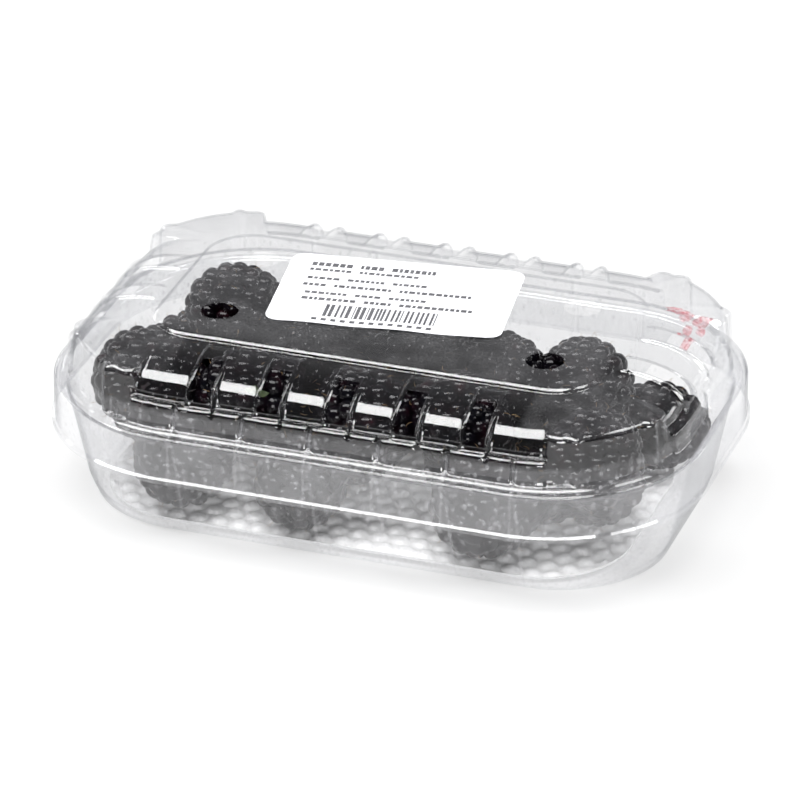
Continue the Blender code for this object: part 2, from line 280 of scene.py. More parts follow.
# from the barrels' foot over the ledge's sloping edge to its wall, on the straight sides
LEDGE_ROWS = ((15.15, 33.3), (15.7, 33.22), (16.35, 33.14), (16.66, 33.05), (17.1, 32.72),
              (17.26, 32.48), (17.33, 32.1), (17.4, 31.3), (17.58, 29.7), (17.72, 28.4))
# the wall's foot, the two steps of the flange, the skirt and its lip
RIM_ROWS = ((17.95, 28.0), (18.3, 27.9), (18.62, 27.84), (18.78, 27.76), (19.14, 27.5),
            (19.3, 27.4), (19.8, 27.32), (20.3, 27.24), (20.46, 27.15), (20.84, 26.87),
            (20.9, 26.6), (20.93, 24.5), (20.94, 21.5), (20.94, 18.8), (20.95, 18.15),
            (21.5, 17.74), (21.5, 17.4), (21.5, SKIRT_BOTTOM_Z))


def barrel_rows(length, lift):
    """A quarter-round barrel, or a band that stands out of it."""
    stretch = length / REACH
    run = BARREL_RUN + lift * BAND_PROUD
    rise = SHOULDER - BARREL_FOOT + lift * BAND_PROUD * BAND_RISE_SHARE
    rows = []
    for step in range(BARREL_STEPS + 1):
        angle = math.radians(90.0 - 90.0 * step / BARREL_STEPS)
        rows.append(((BARREL_START + run * math.cos(angle)) * stretch,
                     BARREL_FOOT + rise * math.sin(angle)))
    return rows


def bay_profile(length, lift, groove, notch):
    """A barrel or band over the ledge; a groove runs down the ledge's wall, a notch only cuts its edge."""
    rows = list(PANEL_ROWS) + barrel_rows(length, lift)
    back = length - REACH
    for number, (out, z) in enumerate(LEDGE_ROWS):
        depth = groove * smooth_step(0, 4, number) + notch * soft_bump(number, 4, 3)
        foot = lift * BAND_PROUD * (1.0 - smooth_step(0, 2, number))
        rows.append((back + out + foot - depth, z))
    return rows + [(back + out, z) for out, z in RIM_ROWS]


def block_profile(length, along):
    """A nearly level top with a rounded edge over a tall outer wall with two upright pillars."""
    inset = BLOCK_INSET
    for centre in PILLAR_AT:
        inset -= PILLAR_PROUD * soft_bump(along, centre, PILLAR_HALF)
    inset += BLOCK_CORNER * (soft_bump(along, 0.0, 0.07) + soft_bump(along, 1.0, 0.07))
    wall = length - inset
    rows = list(PANEL_ROWS)
    top_edge = wall - BLOCK_ROUND
    level_steps = BARREL_STEPS + 1 - len(BLOCK_TURNS)
    for step in range(level_steps):
        out = BLOCK_TOP_START + (top_edge - BLOCK_TOP_START) * ((step + 1) / level_steps)
        rows.append((out, SHOULDER + (BLOCK_EDGE_Z - SHOULDER) * (out / wall) ** 1.5))
    for angle in BLOCK_TURNS:
        turn = math.radians(angle)
        rows.append((top_edge + BLOCK_ROUND * math.sin(turn),
                     BLOCK_EDGE_Z - BLOCK_ROUND * (1.0 - math.cos(turn))))
    back = length - REACH
    foot = max(wall + 0.3, back + LEDGE_ROWS[-1][0] - 0.5)
    top_z = BLOCK_EDGE_Z - BLOCK_ROUND - 0.5
    for number in range(len(LEDGE_ROWS)):
        share = (number + 1) / len(LEDGE_ROWS)
        rows.append((wall + (foot - wall) * share, top_z + (LEDGE_ROWS[-1][1] - top_z) * share))
    return rows + [(back + out, z) for out, z in RIM_ROWS]


def band_marks(middle, spacing_after):
    """Where a band's edges, lips and vent start and end, and how close its columns lie there."""
    return [(middle - BAND_HALF, 0.125), (middle - BAND_HALF + BAND_EDGE, 0.2), (middle - VENT_HALF, 0.8),
            (middle + VENT_HALF, 0.2), (middle + BAND_HALF - BAND_EDGE, 0.125),
            (middle + BAND_HALF, spacing_after)]


def column_runs():
    """Runs along the skirt's quarter at which the lid has a column, closer where it has edges."""
    marks = [(0.0, 0.8)] + band_marks(0.0, 0.44)[3:]
    marks += band_marks(BAND_PITCH, 0.44) + band_marks(2 * BAND_PITCH, 0.44)
    marks += [(BLOCK_START[1] - 1.4, 0.27), (BLOCK_START[1] + 0.8, 1.0)]
    for centre in PILLAR_AT:
        at = BLOCK_START[1] + (BLOCK_END[1] - BLOCK_START[1]) * centre
        marks += [(at - 3.0, 0.5), (at + 3.0, 1.3)]
    marks += [(BLOCK_END[1] - 0.8, 0.27), (BLOCK_END[1] + 1.4, 0.9)]
    marks += band_marks(SKIRT_QUARTER - SIDE_BAND_AT, 0.5)
    return spaced(marks + [(SKIRT_QUARTER, 1.0)])


def band_lift(distance):
    """How far a band stands out of its barrel, with a raised lip along each side of its vent."""
    lip = BEAD * soft_bump(distance, VENT_HALF + BEAD_HALF, BEAD_HALF)
    return smooth_step(BAND_HALF, BAND_HALF - BAND_EDGE, distance) + lip


def groove_depth(x):
    """How far a groove, and a notch, push the ledge in at a place along a long side."""
    return (GROOVE_DEPTH * soft_bump(off_pitch(x, GROOVE_OFFSET), 0.0, 0.8),
            NOTCH_DEPTH * soft_bump(off_pitch(x, NOTCH_OFFSET), 0.0, 0.9))


def lid_column(run, mirrored_x):
    """One column of the lid's quarter, at a run along the skirt."""
    panel_run = np.interp(
        run,
        (0.0, LAST_BAND, BLOCK_START[1], BLOCK_END[1], SKIRT_QUARTER - SIDE_STRAIGHT, SKIRT_QUARTER),
        (0.0, LAST_BAND, BLOCK_START[0], BLOCK_END[0], PANEL_QUARTER - SIDE_STRAIGHT, PANEL_QUARTER),
    )
    inner = quarter_point(PANEL_HALF, PANEL_RADIUS, panel_run)
    outer = quarter_point(SKIRT_HALF, SKIRT_RADIUS, run)
    length = math.dist(inner, outer)
    heading = ((outer[0] - inner[0]) / length, (outer[1] - inner[1]) / length)

    start, end = BLOCK_START[1], BLOCK_END[1]
    half_wall = BLOCK_WALL_RUN / 2
    into_block = smooth_step(start - half_wall, start + half_wall, run)
    into_block -= smooth_step(end - half_wall, end + half_wall, run)
    along = min(max((run - start) / (end - start), 0.0), 1.0)
    band_middles = (0.0, BAND_PITCH, 2 * BAND_PITCH, SKIRT_QUARTER - SIDE_BAND_AT)
    off_band = min(abs(run - middle) for middle in band_middles)
    groove = END_GROOVE_DEPTH * soft_bump(SKIRT_QUARTER - run, 0.0, 0.9)
    notch = 0.0
    if run < LAST_BAND + 8.0:
        groove, notch = groove_depth(-run if mirrored_x else run)

    outside = 1.0 - into_block
    bay = bay_profile(length, band_lift(off_band), groove * outside, notch * outside)
    column = []
    for (bay_out, bay_z), (block_out, block_z) in zip(bay, block_profile(length, along)):
        out = bay_out + (block_out - bay_out) * into_block
        z = bay_z + (block_z - bay_z) * into_block
        column.append((inner[0] + heading[0] * out, inner[1] + heading[1] * out, z))
    return column, off_band < VENT_HALF + 0.01


def panel_faces(rim, first_index):
    """Triangles of the flat panel inside a rim of points, around its four round vents."""
    points = [Vector(point[:2]) for point in rim]
    edges = [(i, (i + 1) % len(rim)) for i in range(len(rim))]
    centres = [(sx * HOLE_AT[0], sy * HOLE_AT[1]) for sx in (-1, 1) for sy in (-1, 1)]
    sides = 48
    for cx, cy in centres:
        start = len(points)
        for k in range(sides):
            angle = 2 * math.pi * k / sides
            points.append(Vector((cx + HOLE_DIAMETER / 2 * math.cos(angle),
                                  cy + HOLE_DIAMETER / 2 * math.sin(angle))))
            edges.append((start + k, start + (k + 1) % sides))
    made, _, triangles, sources, _, _ = delaunay_2d_cdt(points, edges, [], 1, 1e-5)
    index_of = {}
    extra = []
    for number, source in enumerate(sources):
        if source and source[0] < len(rim):
            index_of[number] = source[0]
        else:
            index_of[number] = first_index + len(extra)
            extra.append((made[number].x, made[number].y, PANEL_TOP))
    faces = []
    for triangle in triangles:
        middle = sum((made[i] for i in triangle), Vector((0.0, 0.0))) / 3
        if all(math.dist(middle, centre) > HOLE_DIAMETER / 2 for centre in centres):
            faces.append([index_of[i] for i in triangle])
    return extra, faces


def lid_piece(material):
    runs = column_runs()
    right = [lid_column(run, False) for run in runs]
    left = [lid_column(run, True) for run in runs]
    columns = uneven_loop([column for column, _ in right], [column for column, _ in left])
    vents = [vent for part in four_quarters([vent for _, vent in right]) for vent in part]
    first_vent = len(PANEL_ROWS) + round(BARREL_STEPS * (90.0 - VENT_ANGLE) / 90.0)
    last_vent = len(PANEL_ROWS) + BARREL_STEPS - 1

    def is_open(i, j, row):
        return vents[i] and vents[j] and first_vent <= row < last_vent

    vertices, faces = swept_skin(columns, is_open)
    extra, panel = panel_faces(vertices[:len(columns)], len(vertices))
    piece = new_piece("lid_sheet", vertices + extra, faces + panel, material)
    make_sheet(piece, 1)
    show(piece, "lid")
    return piece


# -------- tray
TRAY_STRAIGHT = 37.0
BEND_COLUMNS = 60
RIB_DEPTH = 0.4
RIBS_END = 52.0  # the ribs stand only on the long sides, out to here
RIBS_END_SHARE = 0.1  # and no further into the bend than this share of it
# half length, half width, corner radius and height, from the rim's outer edge down and back up
TRAY_LEVELS = (
    (69.9, 45.8, 32.9, 26.0), (69.9, 45.8, 32.9, 25.7), (69.7, 45.6, 32.7, 25.4),
    (68.9, 44.8, 31.9, 25.2), (68.5, 44.35, 31.45, 24.9), (68.3, 44.1, 31.25, 24.2),
    (67.9, 43.4, 30.6, 22.0), (67.2, 42.4, 29.7, 19.0), (66.5, 41.4, 28.7, 15.5),
    (65.8, 40.4, 27.7, 12.0), (65.1, 39.4, 26.7, 8.5), (64.4, 38.4, 25.7, 5.0),
    (63.8, 37.6, 24.9, 3.2), (63.55, 37.2, 24.6, 2.5), (63.05, 36.6, 24.05, 1.9),
    (62.95, 36.45, 23.95, 1.0), (62.7, 36.2, 23.7, 0.4), (62.2, 35.7, 23.2, 0.06),
    (61.5, 35.0, 22.5, 0.0), (58.0, 31.5, 19.0, 0.0), (57.2, 30.7, 18.2, 0.25),
)


def tray_column(run, bend_share, side):
    """A column at a run along the straight part, or at a share of what each level has left after it."""
    column = []
    for half_length, half_width, radius, z in TRAY_LEVELS:
        half = (half_length, half_width)
        left_over = quarter_length(half, radius) - TRAY_STRAIGHT
        x, y = quarter_point(half, radius, run + left_over * bend_share)
        if bend_share <= RIBS_END_SHARE and x < RIBS_END:
            rib = soft_bump(off_pitch(side * x, GROOVE_OFFSET), 0.0, 0.55)
            y += RIB_DEPTH * rib * soft_bump(z, 13.5, 12.0) ** 0.25
        column.append((x, y, z))
    return column


def tray_piece(material):
    """The tray as one sheet: its levels swept round, closed by the floor, then made thick."""
    places = [(run, 0.0) for run in spaced([(0.0, 0.37), (TRAY_STRAIGHT, 1.0)])]
    places += [(TRAY_STRAIGHT, k / BEND_COLUMNS) for k in range(1, BEND_COLUMNS + 1)]
    columns = uneven_loop(*([tray_column(*place, side) for place in places] for side in (1, -1)))
    vertices, faces = swept_skin(columns)
    faces.append(range(len(vertices) - len(columns), len(vertices)))
    piece = new_piece("tray_sheet", vertices, faces, material)
    make_sheet(piece, -1)
    show(piece, "tray")


# -------- pad
BUBBLE_PITCH = 4.6
BUBBLE_RADIUS = 1.75
PAD_FILM = 0.55


def bubble_height(x, y):
    """The height share of the bubbles, which stand in shifted rows, at a place on the pad."""
    row_pitch = BUBBLE_PITCH * math.sqrt(3) / 2
    middle_row = round(y / row_pitch)
    column = round(x / BUBBLE_PITCH - 0.5 * (middle_row % 2))
    nearest = min(math.hypot(x - (0.5 * (row % 2) + column + step) * BUBBLE_PITCH, y - row * row_pitch)
                  for row in range(middle_row - 1, middle_row + 2) for step in (-1, 0, 1))
    share = min(nearest / BUBBLE_RADIUS, 1.0)
    return math.sqrt(1.0 - share * share) ** 0.7


def pad_piece(material):
    """A sheet with rows of small air bubbles on a thin film, a little wavy where it lies."""
    rings = 78
    sectors = 420
    edge = full_loop([[(*quarter_point(PAD_HALF, PAD_RADIUS, run), 0.0)]
                      for run in np.linspace(0.0, quarter_length(PAD_HALF, PAD_RADIUS), sectors // 4 + 1)])
    vertices = [(PAD_SHIFT, 0.0, PAD_TOP - 0.3)]
    for ring in range(1, rings + 1):
        share = ring / rings
        for point in edge:
            x = point[0][0] * share
            y = point[0][1] * share
            low = PAD_BOTTOM + 0.2 + 0.18 * noise.noise(Vector((x * 0.05, y * 0.05, 3.0)))
            bubble = (PAD_TOP - PAD_BOTTOM - PAD_FILM - 0.2) * bubble_height(x, y)
            bubble *= smooth_step(0.0, 0.02, 1.0 - share)
            vertices.append((x + PAD_SHIFT, y, min(low + PAD_FILM + bubble, PAD_TOP)))
    outer = len(vertices) - sectors
    vertices += [(x, y, z - PAD_FILM) for x, y, z in vertices[outer:]]
    faces = []
    for i in range(sectors):
        j = (i + 1) % sectors
        faces.append((0, 1 + i, 1 + j))
        for ring in range(rings - 1):
            low = 1 + ring * sectors
            faces.append((low + i, low + sectors + i, low + sectors + j, low + j))
        faces.append((outer + i, outer + sectors + i, outer + sectors + j, outer + j))
    faces.append([outer + sectors + i for i in range(sectors)])
    piece = new_piece("pad_sheet", vertices, faces, material)
    face_outwards(piece)
    show(piece, "pad")


# -------- label
LABEL_FACE = 0.18  # the printed face over the panel
LABEL_THICK = 0.1
LABEL_CURL = 0.22  # how far its lower edge lifts in waves
LABEL_GRID = (90, 60)


def label_point(u, v, height=0.0):
    """A point over the label's face, from its place along and across it."""
    lift = LABEL_CURL * smooth_step(-8.0, -16.0, v) * (0.5 + 0.5 * math.sin(u * 0.33 + 0.6))
    x = LABEL_AT[0] + u * math.cos(LABEL_TURN) - v * math.sin(LABEL_TURN)
    y = LABEL_AT[1] + u * math.sin(LABEL_TURN) + v * math.cos(LABEL_TURN)
    return x, y, PANEL_TOP + LABEL_FACE + lift + height


def label_piece(material):
    """A thin sheet of paper with round corners; its grid's rows grow shorter towards both edges."""
    columns, rows = LABEL_GRID
    wide = columns + 1
    half_width = LABEL_SIZE[1] / 2
    vertices = []
    for j in range(rows + 1):
        v = -half_width + LABEL_SIZE[1] * j / rows
        into_corner = max(abs(v) - (half_width - LABEL_RADIUS), 0.0)
        inset = LABEL_RADIUS - math.sqrt(max(LABEL_RADIUS ** 2 - into_corner ** 2, 0.0))
        for i in range(wide):
            vertices.append(label_point((LABEL_SIZE[0] - 2 * inset) * (i / columns - 0.5), v))
    count = len(vertices)
    vertices += [(x, y, z - LABEL_THICK) for x, y, z in vertices]
    faces = []
    for j in range(rows):
        for low in range(j * wide, j * wide + columns):
            corners = (low, low + 1, low + 1 + wide, low + wide)
            faces.append(corners)
            faces.append([index + count for index in corners[::-1]])
    rim = list(range(wide)) + [j * wide + columns for j in range(1, rows + 1)]
    rim += [rows * wide + i for i in range(columns - 1, -1, -1)]
    rim += [j * wide for j in range(rows - 1, 0, -1)]
    for a, b in zip(rim, rim[1:] + rim[:1]):
        faces.append((b, a, a + count, b + count))
    piece = new_piece("label_sheet", vertices, faces, material)
    face_outwards(piece)
    show(piece, "label")


# rows of plain dashes: distance up the label, first place, dash lengths, and the dashes' height
PRINT_ROWS = (
    (11.6, -20.3, (8.6, 5.2, 9.4), 1.7),
    (9.0, -20.3, (8.2, 12.6), 1.1),
    (5.0, -20.0, (5.6, 7.8, 6.4), 1.1),
    (1.8, -20.3, (4.6, 12.2, 15.0), 1.2),
    (-1.9, -19.2, (8.4, 5.2, 8.0), 1.1),
    (-4.7, -19.3, (10.6, 5.8, 15.2), 1.25),
)
DASH_GAP = 1.5
STRIPES = (-13.3, 10.5, -12.7, 5.8)  # first and last place, lower end and length of the stripes
TICKS = (-14.3, -15.2, 9.2, 13, 1.15)  # distance up the label, first and last place, number, height
TICK_WIDTH = 1.1
PRINT_SEED = 5
INK_HEIGHT = 0.012  # the ink reaches this far above and below the label's face


def print_marks():
    """Plain dashes, stripes and ticks as (left, right, low, high) on the label's own plane."""
    rng = random.Random(PRINT_SEED)
    marks = []
    for level, at, lengths, height in PRINT_ROWS:
        for length in lengths:
            end = at + length
            while at < end:
                width = rng.uniform(0.6, 1.3)
                marks.append((at, at + width, level - height / 2, level + height / 2))
                at += width + 0.35
            at += DASH_GAP
    at, last, low, long = STRIPES
    while at < last:
        width = rng.choice((0.25, 0.25, 0.5, 0.75))
        marks.append((at, min(at + width, last), low, low + long))
        at += width + rng.choice((0.25, 0.35, 0.5, 0.7))
    level, start, end, count, height = TICKS
    for left in np.linspace(start, end, count):
        marks.append((left, left + TICK_WIDTH, level - height / 2, level + height / 2))
    return marks


def print_piece(material):
    """The label's print: generic marks as very thin raised ink."""
    vertices = []
    faces = []
    for left, right, low, high in print_marks():
        steps = max(1, round(right - left))
        start = len(vertices)
        for u in np.linspace(left, right, steps + 1):
            for v in (low, high):
                vertices.append(label_point(u, v, INK_HEIGHT))
                vertices.append(label_point(u, v, -INK_HEIGHT))
        for k in range(steps):
            a = start + 4 * k
            b = a + 4
            faces += [(a, b, b + 2, a + 2), (a + 1, a + 3, b + 3, b + 1),
                      (a, a + 1, b + 1, b), (a + 2, b + 2, b + 3, a + 3)]
        end = start + 4 * steps
        faces += [(start, start + 2, start + 3, start + 1), (end, end + 1, end + 3, end + 2)]
    piece = new_piece("label_print", vertices, faces, material, 20.0)
    face_outwards(piece)
    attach(piece, "root")


# -------- berries
WALL_GAP = 0.25
PRESS_DEPTH = 0.3
# middles of small berries deep in the heap's gaps, and their half sizes
FILLERS = ((-11.0, 16.0, 22.0), (6.5, 18.0, 22.0), (38.5, -16.5, 14.0))
FILLER_HALF = (9.5, 8.2)
LEAF_SCRAP_AT = (-21.6, -28.8, 31.4)
LEAF_HALF_THICK = 0.12
HAIR_SHARE = 0.34  # of the drupelets that still carry their hair


def tray_reach(z):
    """Half length, half width and corner radius of the tray's inside at some height, as in the frame."""
    top = (67.9, 43.7, 30.8, 25.2)
    bottom = (62.6, 36.1, 23.6, 1.5)
    share = np.clip((z - bottom[3]) / (top[3] - bottom[3]), 0.0, 1.0)
    return [low + (high - low) * share for low, high in zip(bottom[:3], top[:3])]


def pressed_in(store):
    """The store with the points that would pass through the tray's wall flattened against it."""
    vertices, faces = store
    points = np.array(vertices)
    half_length, half_width, corner = tray_reach(points[:, 2])
    straight = np.column_stack((half_length - corner, half_width - corner))
    flat = np.abs(points[:, :2])
    off = np.maximum(flat - straight, 0.0)
    distance = np.hypot(off[:, 0], off[:, 1])
    past = distance - (corner - WALL_GAP - PRESS_DEPTH)
    pressed = corner - WALL_GAP - PRESS_DEPTH * np.exp(-np.maximum(past, 0.0) / PRESS_DEPTH)
    keep = np.where(past > 0.0, pressed / np.maximum(distance, 1e-6), 1.0)
    points[:, :2] = np.sign(points[:, :2]) * (np.minimum(flat, straight) + off * keep[:, None])
    return points, faces


def off_the_wall(middle, axes, size):
    """A berry's middle, moved in by as much as its long way round would pass through the wall."""
    half_length, half_width, corner = tray_reach(middle[2])
    off = np.array((max(abs(middle[0]) - half_length + corner, 0.0),
                    max(abs(middle[1]) - half_width + corner, 0.0), 0.0))
    distance = np.linalg.norm(off)
    if distance < 1.0:
        return np.array(middle)
    outward = off / distance * np.sign(middle)
    reach = np.linalg.norm((axes.T @ outward) * (size[0], size[1], size[1]))
    past = distance + reach + BERRY_CLEAR - corner
    return np.array(middle) - outward * max(past, 0.0)


def keep_inside(x, y, z, radius):
    """Pull a berry's middle back inside the tray's tapering wall."""
    half_length, half_width, corner = tray_reach(z)
    corner_x = half_length - corner
    corner_y = half_width - corner
    off_x = max(abs(x) - corner_x, 0.0)
    off_y = max(abs(y) - corner_y, 0.0)
    off = math.hypot(off_x, off_y)
    limit = corner - BERRY_CLEAR - radius
    if off > limit:
        off_x *= limit / off
        off_y *= limit / off
        x = math.copysign(min(abs(x), corner_x) + off_x, x)
        y = math.copysign(min(abs(y), corner_y) + off_y, y)
    return x, y


def settled_berries():
    """Middles, half sizes and headings of the berries after settling in the tray, as in the frame."""
    rng = random.Random(BERRY_SEED)
    homes = []
    sizes = []
    headings = []
    for depth, height, first, last, count, against_usual in BERRY_ROWS:
        for k in range(count):
            x = first + (last - first) * k / max(count - 1, 1) + rng.uniform(-2.0, 2.0)
            homes.append((x, depth + rng.uniform(-2.0, 2.0), height))
            scale = against_usual + rng.uniform(-BERRY_SPREAD, BERRY_SPREAD)
            sizes.append((BERRY_HALF[0] * scale, BERRY_HALF[1] * scale))
            headings.append(rng.uniform(0.0, math.pi))
    middles = [list(home) for home in homes]
    for _ in range(400):
        for middle, home in zip(middles, homes):
            middle[0] += (home[0] - middle[0]) * BERRY_HOME_PULL
            middle[1] += (home[1] - middle[1]) * BERRY_HOME_PULL
            middle[2] += (home[2] - middle[2]) * BERRY_HEIGHT_PULL - BERRY_SINK
        for i, a in enumerate(middles):
            for j in range(i):
                b = middles[j]
                reach = sizes[i][1] + sizes[j][1] - BERRY_SQUEEZE
                apart = math.dist(a, b)
                if apart < reach:
                    push = (reach - apart) / apart * 0.5
                    for axis in range(3):
                        shift = (a[axis] - b[axis]) * push
                        a[axis] += shift
                        b[axis] -= shift
        for middle, size in zip(middles, sizes):
            middle[0], middle[1] = keep_inside(*middle, size[1])
            middle[2] = min(max(middle[2], HEAP_FLOOR + size[1]), BERRY_CEILING - size[1])
    return middles, sizes, headings


DRUPELETS = 104
DRUPELET_SIDES = 9
DRUPELET_ROWS = ((0.48, 0.875), (0.84, 0.54), (1.0, 0.06))  # radius and height shares, under its tip
CORE_SHARE = 0.82
CORE_SIDES = 20
CORE_STEPS = 12
HAIR_STEPS = 5
HAIR_LENGTH = (0.9, 2.4)
HAIR_RADIUS = 0.06
GOLDEN_ANGLE = math.pi * (3.0 - math.sqrt(5.0))


def berry_frame(heading, tilt):
    """Columns: along the berry, across it, and up."""
    flat = math.cos(tilt)
    along = np.array((math.cos(heading) * flat, math.sin(heading) * flat, math.sin(tilt)))
    across = np.array((-math.sin(heading), math.cos(heading), 0.0))
    return np.column_stack((along, across, np.cross(along, across)))


def berry_surface(share, turn, size):
    """A point of a berry's skin and its outward direction, from its stem end at -1 to its tip at 1."""
    taper = 1.0 - 0.13 * share - 0.05 * share * share
    radius = size[1] * taper * math.sqrt(max(1.0 - share * share, 0.0))
    point = np.array((size[0] * share, radius * math.cos(turn), radius * math.sin(turn)))
    outward = np.array((share / size[0], math.cos(turn) * radius / size[1] ** 2,
                        math.sin(turn) * radius / size[1] ** 2))
    return point, outward / np.linalg.norm(outward)


def side_axes(direction):
    """Two axes square to a direction."""
    helper = np.array((0.0, 0.0, 1.0)) if abs(direction[2]) < 0.9 else np.array((1.0, 0.0, 0.0))
    first = np.cross(direction, helper)
    first /= np.linalg.norm(first)
    return first, np.cross(direction, first)


def drupelet_places(size, rng):
    """Middle, outward direction and radius of each drupelet of a berry, in the berry's own axes."""
    area = 4 * math.pi * ((2 * (size[0] * size[1]) ** 1.6 + size[1] ** 3.2) / 3) ** (1 / 1.6)
    radius = 0.60 * math.sqrt(area / DRUPELETS)
    places = []
    for k in range(DRUPELETS):
        share = 1.0 - 2.0 * (k + 0.5) / DRUPELETS + rng.uniform(-0.012, 0.012)
        turn = GOLDEN_ANGLE * k + rng.uniform(-0.07, 0.07)
        share = min(max(share, -0.99), 0.99)
        point, outward = berry_surface(share, turn, (size[0], size[1]))
        own = radius * rng.uniform(0.88, 1.1)
        places.append((point - outward * own * 0.98, outward, own))
    return places


def berry_pieces(fruit):
    middles, sizes, headings = settled_berries()
    middles += FILLERS
    sizes += [FILLER_HALF] * len(FILLERS)
    headings += [0.4 * number for number in range(len(FILLERS))]
    rng = random.Random(BERRY_SEED + 1)
    drupelets, cores, hairs, leaves = [([], []) for _ in range(4)]
    for middle, size, heading in zip(middles, sizes, headings):
        axes = berry_frame(heading, rng.uniform(-0.25, 0.25))
        centre = off_the_wall(middle, axes, size)
        add_core(cores, centre, axes, size)
        for point, outward, radius in drupelet_places(size, rng):
            place = centre + axes @ point
            direction = axes @ outward + np.array([rng.uniform(-0.12, 0.12) for _ in range(3)])
            direction /= np.linalg.norm(direction)
            add_drupelet(drupelets, place, direction, radius, rng)
            if rng.random() < HAIR_SHARE:
                add_hair(hairs, place + direction * radius * 0.93, direction, rng)
    add_leaf_scrap(leaves, np.array(LEAF_SCRAP_AT), rng)
    flesh, hair, leaf = (plain_material(f"berry_{part}_look") for part in ("core", "hair", "leaf"))
    for name, store, material in (("bramble_drupelets", drupelets, fruit), ("bramble_cores", cores, flesh)):
        show(new_piece(name, *pressed_in(store), material, 180.0), "berries")
    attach(new_piece("bramble_hairs", *pressed_in(hairs), hair, 180.0), "root")
    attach(new_piece("bramble_leaves", *leaves, leaf, 60.0), "root")


def around(first, second, sides, start=0.0):
    """Unit steps from an axis, one for each side of a ring, clockwise in the plane of two axes."""
    angles = [start - 2 * math.pi * k / sides for k in range(sides)]
    return [math.cos(angle) * first + math.sin(angle) * second for angle in angles]


def add_rings(store, rings, closed_tip, closed_root):
    """Skin equal rings of points, clockwise seen from the tip, each end closed by a point."""
    vertices, faces = store
    start = len(vertices)
    sides = len(rings[0])
    last = start + (len(rings) - 1) * sides
    tip = last + sides
    for ring in rings:
        vertices.extend(ring)
    vertices.extend((closed_tip, closed_root))
    for i in range(sides):
        j = (i + 1) % sides
        for low in range(start, last, sides):
            faces.append((low + i, low + j, low + sides + j, low + sides + i))
        faces.append((tip, start + j, start + i))
        faces.append((tip + 1, last + i, last + j))


def add_drupelet(store, place, direction, radius, rng):
    first, second = side_axes(direction)
    spin = rng.uniform(0.0, math.pi)
    squash = rng.uniform(0.92, 1.06)
    ring = around(first, second * squash, DRUPELET_SIDES, spin)
    rings = [[place + radius * (wide * step + high * direction) for step in ring]
             for wide, high in DRUPELET_ROWS]
    add_rings(store, rings, place + direction * radius, place - direction * radius * 0.8)


def add_core(store, centre, axes, size):
    rings = []
    for k in range(1, CORE_STEPS):
        share = -math.cos(math.pi * k / CORE_STEPS)
        turns = [2 * math.pi * i / CORE_SIDES for i in range(CORE_SIDES)]
        rings.append([centre + axes @ berry_surface(share, turn, size)[0] * CORE_SHARE for turn in turns])
    tip = np.array((size[0] * CORE_SHARE, 0.0, 0.0))
    add_rings(store, rings, centre - axes @ tip, centre + axes @ tip)


def add_hair(store, place, direction, rng):
    """A thin bent hair, thickest where it leaves the drupelet."""
    length = rng.uniform(*HAIR_LENGTH)
    first, second = side_axes(direction)
    bend_turn = rng.uniform(0.0, 2 * math.pi)
    bend = (math.cos(bend_turn) * first + math.sin(bend_turn) * second) * rng.uniform(0.5, 1.5)
    curl = np.cross(direction, bend) * rng.uniform(-0.8, 0.8)
    rings = []
    at = place
    for share in np.linspace(0.0, 1.0, HAIR_STEPS):
        heading = direction * (1.0 - 0.8 * share) + bend * share + curl * share * share
        heading /= np.linalg.norm(heading)
        radius = HAIR_RADIUS * (1.0 - 0.6 * share)
        rings.append([at + radius * step for step in around(*side_axes(heading), 3)])
        at = at + heading * length / HAIR_STEPS
    add_rings(store, rings[::-1], at, place)


def add_leaf_scrap(store, place, rng):
    """A scrap of a berry's small green leaves, seen through a vent."""
    front = np.array((0.0, -1.0, 0.3))
    for k in range(3):
        turn = 0.4 + 1.3 * k + rng.uniform(-0.2, 0.2)
        out = np.array((math.cos(turn), 0.0, math.sin(turn)))
        side = np.array((-math.sin(turn), 0.0, math.cos(turn)))
        length = rng.uniform(1.8, 2.8)
        rings = []
        for share in (0.05, 0.3, 0.55, 0.8, 0.95):
            width = 0.75 * math.sin(math.pi * (0.15 + 0.85 * share)) + 0.06
            point = place + out * length * share + front * 0.6 * math.sin(share * 2.4)
            rings.append([point + step for step in around(side * width, front * -LEAF_HALF_THICK, 4)])
        add_rings(store, rings, place, place + out * length)


# -------- juice smear
# place on the plan, and half sizes, of each patch on the lid's right end
SMEAR_PATCHES = (
    (54.6, 20.4, 2.6, 1.5), (57.2, 18.6, 1.3, 2.3), (61.0, 18.2, 1.6, 1.3), (63.2, 15.8, 0.8, 1.7),
    (59.6, 13.6, 0.9, 2.6), (61.4, 8.6, 1.1, 2.2), (58.4, 9.6, 0.7, 1.2), (64.6, 18.8, 0.7, 1.0),
)
SMEAR_SIDES = 18
SMEAR_SEED = 3
# how far a patch's middle, its edge and its underside lie over the lid
SMEAR_MIDDLE = 0.09
SMEAR_EDGE = 0.03
SMEAR_FOOT = 0.005


